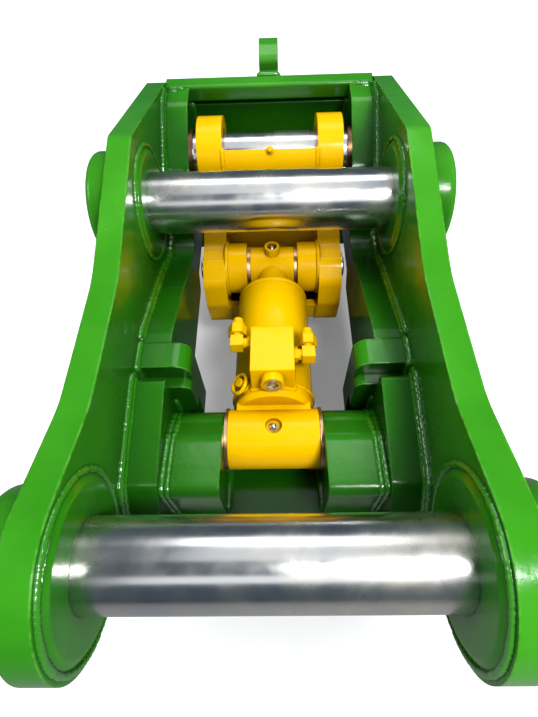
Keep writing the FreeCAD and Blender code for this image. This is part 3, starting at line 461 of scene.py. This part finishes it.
for side, sign in (("left", -1), ("right", 1)):
    for station, y in (("stick", 0.0), ("link", pin_spacing)):
        weld_along("weld_%s_collar_%s" % (station, side), "%s_collar_%s" % (station, side), 0,
                   sign * plate_face, lambda p, y=y: math.hypot(p.y - y, p.z) > pin_radius + 0.010, 0.0036,
                   "frame", green_weld, seed=3)
        weld_along("weld_%s_boss_%s" % (station, side), "%s_boss_%s" % (station, side), 0,
                   sign * outer_face, lambda p, y=y: math.hypot(p.y - y, p.z) > pin_radius + 0.010, 0.0050,
                   "frame", green_weld, seed=5)
    weld_along("weld_inner_plate_%s" % side, "inner_plate_" + side, 0, sign * plate_face,
               lambda p: p.z > -0.118 and not in_notch(p) and not at_rear_top(p),
               0.0068, "frame", green_weld, seed=11)
    weld_along("weld_inner_plate_cap_%s" % side, "inner_plate_" + side, 0, sign * plate_face,
               lambda p: p.z > -0.100 and not in_notch(p) and not at_rear_top(p),
               0.0046, "frame", green_weld, seed=12, grow=0.0068)
    weld_along("weld_cross_plate_%s" % side, "rear_cross_plate", 0, sign * plate_face,
               lambda p: p.z < cross_high.z - 0.013, 0.0062, "frame", green_weld, seed=17)
    weld_along("weld_gusset_top_%s" % side, "cross_gusset_" + side, 0, sign * plate_face,
               lambda p: p.z > sill + 0.004, 0.0055, "frame", green_weld, seed=23)
    weld_along("weld_gusset_down_%s" % side, "cross_gusset_" + side, 0, sign * inner_low.x,
               lambda p: p.z < sill - 0.004, 0.0055, "frame", green_weld, seed=29)
    weld_along("weld_inset_top_%s" % side, "lug_gusset_" + side, 0, sign * plate_face,
               lambda p: p.z > sill + 0.002, 0.004, "frame", green_weld, seed=31)
    weld_along("weld_inset_down_%s" % side, "lug_gusset_" + side, 0, sign * inner_low.x,
               lambda p: p.z < sill - 0.002, 0.0045, "frame", green_weld, seed=37)
    for x in (lug_low.x, lug_high.x):
        weld_along("weld_lug_%s_%d" % (side, round(x * 1000)), "cylinder_lug_" + side, 0, sign * x,
                   lambda p: abs(math.hypot(p.y - jaw_y, p.z - jaw_z) - saddle_radius) < 0.001
                   or (p.y < jaw_y and abs(p.z - lug_low.z) > 0.02 and p.z < jaw_z + 0.0595),
                   0.0055, "frame", green_weld, seed=41)
    weld_along("weld_saddle_%s" % side, "front_jaw_saddle", 0, sign * inner_low.x,
               lambda p: math.hypot(p.y - jaw_y, p.z - jaw_z) > saddle_radius - 0.004,
               0.0055, "frame", green_weld, seed=43)
    weld_along("weld_wrap_%s" % side, "rear_wrap_plate", 0, sign * inner_low.x,
               lambda p: True, 0.0045, "frame", green_weld, seed=47)
    flank = [Vector((0, y, z)) for y, z in (
        (0.0815, -0.160), (0.0810, -0.090), (0.0830, -0.0725), (0.1100, -0.0735), (0.1420, -0.0765),
        (0.1680, -0.0900), (0.1840, -0.1030), (0.1940, -0.1230), (0.2000, -0.1450))]
    for n, x in enumerate((lug_high.x + 0.0030, lug_high.x + 0.0095)):
        bead("weld_lug_flank_%s_%d" % (side, n + 1), [p + Vector((sign * x, 0, 0)) for p in flank],
             0.0058, "frame", green_weld, False, 57 + n)
for side, sign in (("left", -1), ("right", 1)):
    for n, (y, z, radius) in enumerate(((-0.0010, -0.0030, 0.0046), (-0.0070, -0.0035, 0.0038))):
        bead("weld_rear_corner_%s_%d" % (side, n + 1),
             [Vector((sign * x, cross_low.y + y, cross_high.z + z))
              for x in (inner_low.x + 0.005 + 0.012 * n, inner_low.x + 0.020, plate_face - 0.002)],
             radius, "frame", green_weld, False, 101 + n)
weld_along("weld_lifting_eye", "lifting_eye", 1, cross_high.y, lambda p: True,
           0.0042, "frame", green_weld, seed=53)

# Machine pins and the hook shaft: alloy bar, turned, hardened and ground bright. Fine turning
# marks run round them, with cloudy stains of oil.
bright, tree, out = new_material("ground_steel")
place = add(tree, "ShaderNodeTexCoord")
stretch = add(tree, "ShaderNodeMapping")
stretch.inputs["Scale"].default_value = (900.0, 14.0, 14.0)
tree.links.new(place.outputs["Object"], stretch.inputs["Vector"])
turning = add(tree, "ShaderNodeTexNoise", {"Scale": 1.0, "Detail": 3.0, "Roughness": 0.6})
tree.links.new(stretch.outputs["Vector"], turning.inputs["Vector"])
stain = add(tree, "ShaderNodeTexNoise",
            {"Scale": 13.0, "Detail": 5.0, "Roughness": 0.60, "Distortion": 0.4})
tree.links.new(place.outputs["Object"], stain.inputs["Vector"])
stain_mask = add(tree, "ShaderNodeMapRange", {"From Min": 0.34, "From Max": 0.72})
tree.links.new(stain.outputs["Fac"], stain_mask.inputs["Value"])
rough = add(tree, "ShaderNodeMapRange", {"To Min": 0.17, "To Max": 0.34})
tree.links.new(stain_mask.outputs["Result"], rough.inputs["Value"])
steel_colour = add(tree, "ShaderNodeMix", data_type="RGBA")
steel_colour.inputs["A"].default_value = (0.50, 0.52, 0.55, 1)
steel_colour.inputs["B"].default_value = (0.74, 0.71, 0.63, 1)
tree.links.new(stain_mask.outputs["Result"], steel_colour.inputs["Factor"])
bump = add(tree, "ShaderNodeBump", {"Strength": 0.25, "Distance": 0.00004})
tree.links.new(turning.outputs["Fac"], bump.inputs["Height"])
shader = add(tree, "ShaderNodeBsdfPrincipled", {"Metallic": 1.0})
tree.links.new(steel_colour.outputs["Result"], shader.inputs["Base Color"])
tree.links.new(rough.outputs["Result"], shader.inputs["Roughness"])
tree.links.new(bump.outputs["Normal"], shader.inputs["Normal"])
tree.links.new(shader.outputs["BSDF"], out.inputs["Surface"])
paint(["stick_pin", "link_pin", "hook_shaft", "base_pin", "rod_pin"], bright)

# Hook and cylinder: cast and welded steel in glossy yellow enamel.
# The fourth colour is the painted highlight along edges and the fifth the painted shade in corners and
# recesses.
yellow = enamel("yellow_enamel", (0.93, 0.50, 0.0), (0.98, 0.57, 0.0), (1.0, 0.64, 0.008),
                (0.13, 0.042, 0.0), 0.50, 0.0003, 0.0022, 0.04, 0.10)
yellow_nodes = [name for name in nodes if name.startswith((
    "hook_arm", "hook_saddle", "hook_jaw", "hook_belly", "rod_boss", "barrel", "gland", "valve",
    "elbow", "port_cap", "rod_eye", "bleed"))]
paint(yellow_nodes, yellow)

# Welds of the cylinder and the hook, under the same yellow paint.
base_low, base_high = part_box("base_pin")
rod_low, rod_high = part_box("rod_pin")
shaft_low, shaft_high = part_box("hook_shaft")
base_centre = (base_low + base_high) / 2
rod_centre = (rod_low + rod_high) / 2
shaft_centre = (shaft_low + shaft_high) / 2
cylinder_axis = (rod_centre - base_centre).normalized()
cylinder_up = Vector((0, -cylinder_axis.z, cylinder_axis.y))
reach = (rod_centre - base_centre).length
tube_radius = 0.0515
block_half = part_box("valve_block")[1].x
block_start = 0.044
block_end = 0.110


def on_cylinder(x, along, up):
    """Point beside the cylinder's axis, along it from the base pin and up from it."""
    return base_centre + Vector((x, 0, 0)) + cylinder_axis * along + cylinder_up * up


def round_line(centre, radius, axis_one, axis_two, low=0.0, high=360.0):
    """Points of an arc about a centre, in the plane of two directions."""
    steps = max(12, int(abs(high - low) / 5))
    angles = [math.radians(low + (high - low) * k / steps) for k in range(steps + 1)]
    points = [centre + (axis_one * math.cos(a) + axis_two * math.sin(a)) * radius for a in angles]
    return points[:-1] if high - low >= 360.0 else points


across = Vector((1, 0, 0))
bead("weld_tube_foot", round_line(on_cylinder(0, 0.052, 0), tube_radius, across, cylinder_up), 0.0024,
     "barrel", yellow, True, 61)
saddle_line = []
for k in range(13):
    x = -block_half + 2 * block_half * k / 12
    saddle_line.append(on_cylinder(x, block_end, math.sqrt(tube_radius ** 2 - x ** 2)))
for k in range(13):
    x = block_half - 2 * block_half * k / 12
    saddle_line.append(on_cylinder(x, block_start, math.sqrt(tube_radius ** 2 - x ** 2)))
bead("weld_valve_block", saddle_line, 0.0026, "barrel", yellow, True, 67)
arm_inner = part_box("hook_saddle")[1].x
arm_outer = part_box("hook_arm_right")[0].x + 0.035
seat_y = shaft_centre.y - 0.089
seat_z = shaft_centre.z - 0.174
ahead = Vector((0, 1, 0))
upward = Vector((0, 0, 1))
for side, sign in (("left", -1), ("right", 1)):
    bead("weld_rod_boss_" + side,
         round_line(rod_centre + across * sign * (arm_inner - 0.0005), 0.0405, ahead, upward),
         0.0032, "hook", yellow, True, 71 + sign)
    bead("weld_hub_" + side,
         round_line(shaft_centre + across * sign * arm_outer, 0.056, ahead, upward, 198, 338),
         0.0028, "hook", yellow, False, 75 + sign)
    weld_along("weld_hook_saddle_" + side, "hook_saddle", 0, sign * arm_inner,
               lambda p: math.hypot(p.y - shaft_centre.y, p.z - shaft_centre.z) > 0.040, 0.0034,
               "hook", yellow, seed=79)
    weld_along("weld_jaw_web_" + side, "hook_jaw_web", 0, sign * arm_inner,
               lambda p: math.hypot(p.y - seat_y, p.z - seat_z) > 0.044, 0.0034, "hook", yellow, seed=83)
    weld_along("weld_belly_" + side, "hook_belly_plate", 0, sign * arm_inner, lambda p: True, 0.003,
               "hook", yellow, seed=89)


def turned_piece(name, profile, base, direction, body, material, steps=24, smooth=True):
    """A round piece from (radius, height) pairs, standing at base along a direction."""
    side = direction.orthogonal().normalized()
    other = direction.cross(side)
    bm = bmesh.new()
    rings = []
    for radius, height in profile:
        rings.append([bm.verts.new(base + direction * height
                                   + (side * math.cos(2 * math.pi * k / steps)
                                      + other * math.sin(2 * math.pi * k / steps)) * radius)
                      for k in range(steps)])
    for low, high in zip(rings, rings[1:]):
        for k in range(steps):
            bm.faces.new((low[k], low[(k + 1) % steps], high[(k + 1) % steps], high[k]))
    bm.faces.new(list(reversed(rings[0])))
    bm.faces.new(rings[-1])
    bmesh.ops.recalc_face_normals(bm, faces=bm.faces)
    piece = mesh_piece(name, bm, body, material, smooth)
    if smooth:
        crease = piece.modifiers.new("crease", "EDGE_SPLIT")
        crease.split_angle = math.radians(38)
    return piece


# Bleed ring: a loop of round bar that lies on the plug's foot.
plug_turn = math.radians(136)
plug_way = cylinder_up * math.sin(plug_turn) + across * math.cos(plug_turn)
ring_centre = on_cylinder(0, 0.056, 0) + plug_way * (tube_radius + 0.0066)
bm = bmesh.new()
ring_side = plug_way.orthogonal().normalized()
ring_other = plug_way.cross(ring_side)
turns = 40
hoops = []
for k in range(turns):
    a = 2 * math.pi * k / turns
    away = ring_side * math.cos(a) + ring_other * math.sin(a)
    hoops.append([bm.verts.new(ring_centre + away * (0.0124 + 0.0027 * math.cos(2 * math.pi * j / 14))
                               + plug_way * 0.0027 * math.sin(2 * math.pi * j / 14)) for j in range(14)])
for k in range(turns):
    for j in range(14):
        bm.faces.new((hoops[k][j], hoops[k][(j + 1) % 14],
                      hoops[(k + 1) % turns][(j + 1) % 14], hoops[(k + 1) % turns][j]))
bmesh.ops.recalc_face_normals(bm, faces=bm.faces)
loop = mesh_piece("bleed_ring", bm, "barrel", yellow)
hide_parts("bleed_loop")

# Thrust washers and bushes: plain bearing bronze, greasy and dull. The rings beside the hook's
# hubs are given a much darker bronze.
def bearing_bronze(name, dull, clean):
    """Bearing bronze whose tone moves between dull and clean where the grease is wiped off."""
    material, tree, out = new_material(name)
    place = add(tree, "ShaderNodeTexCoord")
    grease = add(tree, "ShaderNodeTexNoise", {"Scale": 60.0, "Detail": 6.0, "Roughness": 0.6})
    tree.links.new(place.outputs["Object"], grease.inputs["Vector"])
    mask = add(tree, "ShaderNodeMapRange", {"From Min": 0.35, "From Max": 0.65})
    tree.links.new(grease.outputs["Fac"], mask.inputs["Value"])
    colour = add(tree, "ShaderNodeMix", data_type="RGBA")
    colour.inputs["A"].default_value = (*dull, 1)
    colour.inputs["B"].default_value = (*clean, 1)
    tree.links.new(mask.outputs["Result"], colour.inputs["Factor"])
    rough = add(tree, "ShaderNodeMapRange", {"To Min": 0.28, "To Max": 0.5})
    tree.links.new(mask.outputs["Result"], rough.inputs["Value"])
    bump = add(tree, "ShaderNodeBump", {"Strength": 0.3, "Distance": 0.0001})
    tree.links.new(grease.outputs["Fac"], bump.inputs["Height"])
    shader = add(tree, "ShaderNodeBsdfPrincipled", {"Metallic": 1.0})
    tree.links.new(colour.outputs["Result"], shader.inputs["Base Color"])
    tree.links.new(rough.outputs["Result"], shader.inputs["Roughness"])
    tree.links.new(bump.outputs["Normal"], shader.inputs["Normal"])
    tree.links.new(shader.outputs["BSDF"], out.inputs["Surface"])
    return material


bronze = bearing_bronze("bearing_bronze", (0.40, 0.23, 0.11), (0.72, 0.48, 0.27))
paint([name for name in nodes if "washers" in name or "bush" in name], bronze)
paint(["hook_shims"], bearing_bronze("darkened_bronze", (0.07, 0.040, 0.022), (0.20, 0.115, 0.06)))

# Small hardware: zinc-plated bolts, retaining rings and nipples.
zinc, tree, out = new_material("zinc_plate")
place = add(tree, "ShaderNodeTexCoord")
spangle = add(tree, "ShaderNodeTexVoronoi", {"Scale": 260.0})
tree.links.new(place.outputs["Object"], spangle.inputs["Vector"])
haze = add(tree, "ShaderNodeTexNoise", {"Scale": 80.0, "Detail": 5.0})
tree.links.new(place.outputs["Object"], haze.inputs["Vector"])
colour = add(tree, "ShaderNodeMix", data_type="RGBA")
colour.inputs["A"].default_value = (0.42, 0.40, 0.33, 1)
colour.inputs["B"].default_value = (0.66, 0.65, 0.60, 1)
tree.links.new(haze.outputs["Fac"], colour.inputs["Factor"])
rough = add(tree, "ShaderNodeMapRange", {"To Min": 0.22, "To Max": 0.42})
tree.links.new(spangle.outputs["Distance"], rough.inputs["Value"])
bump = add(tree, "ShaderNodeBump", {"Strength": 0.3, "Distance": 0.0001})
tree.links.new(haze.outputs["Fac"], bump.inputs["Height"])
shader = add(tree, "ShaderNodeBsdfPrincipled", {"Metallic": 1.0})
tree.links.new(colour.outputs["Result"], shader.inputs["Base Color"])
tree.links.new(rough.outputs["Result"], shader.inputs["Roughness"])
tree.links.new(bump.outputs["Normal"], shader.inputs["Normal"])
tree.links.new(shader.outputs["BSDF"], out.inputs["Surface"])
paint([name for name in nodes if "bolts" in name or "rings" in name or "nipple" in name
       or name == "piston"], zinc)

# Grease nipples: hexagon foot, waist and ball head with its spring seat.
for name, base, way, body in (
        ("base", on_cylinder(0, 0, 0.029), cylinder_up, "barrel"),
        ("rod", on_cylinder(0, reach, 0.037), cylinder_up, "rod")):
    foot = turned_piece(name + "_nipple_foot", [(0.0050, 0.0), (0.0050, 0.0026), (0.0042, 0.0031)],
                        base, way, body, zinc, 6, False)
    turned_piece(name + "_nipple_head", [
        (0.0034, 0.0028), (0.0030, 0.0036), (0.0021, 0.0044), (0.0021, 0.0049), (0.0031, 0.0056),
        (0.0033, 0.0063), (0.0028, 0.0070), (0.0016, 0.0074), (0.0010, 0.0074), (0.0008, 0.0070)],
        base, way, body, zinc, 20)
    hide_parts(name + "_grease_nipple")

# Insert of the valve cartridge: a turned steel face with its rings, sunk in the socket. The
# saddle of the hook carries a small lubricator on its upper edge.
turned_piece("cartridge_insert", [
    (0.0112, -0.0020), (0.0112, 0.0005), (0.0104, 0.0009), (0.0097, 0.0005), (0.0094, -0.0006),
    (0.0082, -0.0006), (0.0079, 0.0004), (0.0066, 0.0004), (0.0062, -0.0022), (0.0040, -0.0022),
    (0.0036, -0.0004), (0.0014, -0.0004), (0.0010, -0.0014)],
    on_cylinder(0, 0.034, 0.0708), -cylinder_axis, "barrel", zinc, 32)
nub_turn = math.radians(141)
nub_way = ahead * math.cos(nub_turn) + upward * math.sin(nub_turn)
turned_piece("saddle_lubricator", [
    (0.0060, -0.0006), (0.0060, 0.0020), (0.0042, 0.0032), (0.0026, 0.0040), (0.0026, 0.0060),
    (0.0034, 0.0068), (0.0026, 0.0084), (0.0010, 0.0088)],
    shaft_centre + nub_way * 0.054, nub_way, "hook", yellow, 20)

# Piston rod: hard chrome over ground bar. Wiper: black moulded rubber.
chrome, tree, out = new_material("hard_chrome")
place = add(tree, "ShaderNodeTexCoord")
fine = add(tree, "ShaderNodeTexNoise", {"Scale": 400.0, "Detail": 2.0})
tree.links.new(place.outputs["Object"], fine.inputs["Vector"])
rough = add(tree, "ShaderNodeMapRange", {"To Min": 0.05, "To Max": 0.14})
tree.links.new(fine.outputs["Fac"], rough.inputs["Value"])
tint = add(tree, "ShaderNodeMix", data_type="RGBA")
tint.inputs["A"].default_value = (0.70, 0.71, 0.73, 1)
tint.inputs["B"].default_value = (0.80, 0.80, 0.82, 1)
tree.links.new(fine.outputs["Fac"], tint.inputs["Factor"])
bump = add(tree, "ShaderNodeBump", {"Strength": 0.1, "Distance": 0.00002})
tree.links.new(fine.outputs["Fac"], bump.inputs["Height"])
shader = add(tree, "ShaderNodeBsdfPrincipled", {"Metallic": 1.0})
tree.links.new(tint.outputs["Result"], shader.inputs["Base Color"])
tree.links.new(rough.outputs["Result"], shader.inputs["Roughness"])
tree.links.new(bump.outputs["Normal"], shader.inputs["Normal"])
tree.links.new(shader.outputs["BSDF"], out.inputs["Surface"])
paint(["piston_rod"], chrome)

rubber, tree, out = new_material("wiper_rubber")
place = add(tree, "ShaderNodeTexCoord")
grain = add(tree, "ShaderNodeTexNoise", {"Scale": 500.0, "Detail": 3.0})
tree.links.new(place.outputs["Object"], grain.inputs["Vector"])
tint = add(tree, "ShaderNodeMix", data_type="RGBA")
tint.inputs["A"].default_value = (0.012, 0.012, 0.013, 1)
tint.inputs["B"].default_value = (0.035, 0.034, 0.033, 1)
tree.links.new(grain.outputs["Fac"], tint.inputs["Factor"])
bump = add(tree, "ShaderNodeBump", {"Strength": 0.3, "Distance": 0.0001})
tree.links.new(grain.outputs["Fac"], bump.inputs["Height"])
rough = add(tree, "ShaderNodeMapRange", {"To Min": 0.5, "To Max": 0.7})
tree.links.new(grain.outputs["Fac"], rough.inputs["Value"])
shader = add(tree, "ShaderNodeBsdfPrincipled")
tree.links.new(tint.outputs["Result"], shader.inputs["Base Color"])
tree.links.new(rough.outputs["Result"], shader.inputs["Roughness"])
tree.links.new(bump.outputs["Normal"], shader.inputs["Normal"])
tree.links.new(shader.outputs["BSDF"], out.inputs["Surface"])
paint(["rod_wiper"], rubber)

# Light: a key above the front, right of the middle, a wide dim panel overhead that the bright
# bars mirror as patches with sharp ends, and weak panels round them in a dim room.
world = bpy.data.worlds.new("showroom")
bpy.context.scene.world = world
world.use_nodes = True
tree = world.node_tree
tree.nodes.clear()
out = tree.nodes.new("ShaderNodeOutputWorld")
room = add(tree, "ShaderNodeBackground", {"Color": (0.62, 0.81, 1.0, 1), "Strength": 0.14})
backdrop = add(tree, "ShaderNodeBackground", {"Color": (1, 1, 1, 1), "Strength": 1.0})
ray = add(tree, "ShaderNodeLightPath")
choose = add(tree, "ShaderNodeMixShader")
tree.links.new(ray.outputs["Is Camera Ray"], choose.inputs["Fac"])
tree.links.new(room.outputs["Background"], choose.inputs[1])
tree.links.new(backdrop.outputs["Background"], choose.inputs[2])
tree.links.new(choose.outputs["Shader"], out.inputs["Surface"])


def panel(name, place, aim, width, depth, power, tint=(1, 1, 1)):
    """A rectangular lamp that faces a point."""
    lamp = bpy.data.lights.new(name, "AREA")
    lamp.shape = "RECTANGLE"
    lamp.size = width
    lamp.size_y = depth
    lamp.energy = power
    lamp.color = tint
    holder = bpy.data.objects.new(name, lamp)
    holder.location = place
    holder.rotation_euler = (Vector(aim) - Vector(place)).to_track_quat("-Z", "Y").to_euler()
    bpy.context.scene.collection.objects.link(holder)
    return holder


panel("key_right", (0.62, -0.62, 1.66), (0, 0.25, -0.1), 0.52, 0.46, 46)
panel("ceiling", (0.03, 0.40, 1.50), (0.03, 0.40, 0), 0.84, 1.00, 2.7)
panel("rear_top", (0.05, 1.35, 1.60), (0, 0.45, 0), 1.10, 0.70, 9)
panel("front_wall", (0.0, -1.5, 1.55), (0, 0.2, -0.1), 1.60, 0.60, 4.0)
panel("left_wall", (-2.0, 0.2, 1.4), (0, 0.3, -0.1), 1.10, 0.90, 14)

# Camera: held above the stick end, looking down and back along the frame.
pitch = math.radians(58.46)
yaw = math.radians(-2.38)
roll = math.radians(-3.09)
forward = Vector((math.sin(yaw) * math.cos(pitch), math.cos(yaw) * math.cos(pitch), -math.sin(pitch)))
level_right = Vector((math.cos(yaw), -math.sin(yaw), 0))
level_up = level_right.cross(forward)
right = level_right * math.cos(roll) + level_up * math.sin(roll)
up = level_up * math.cos(roll) - level_right * math.sin(roll)
lens = bpy.data.cameras.new("camera")
lens.sensor_width = 36.0
lens.lens = 467.0 / 717.0 * 36.0
lens.clip_start = 0.01
camera = bpy.data.objects.new("camera", lens)
bpy.context.scene.collection.objects.link(camera)
turn = Matrix((right, up, -forward)).transposed().to_4x4()
camera.matrix_world = Matrix.Translation((0.0082, -0.0597, 0.4303)) @ turn
bpy.context.scene.camera = camera
bpy.context.scene.view_settings.view_transform = "Standard"
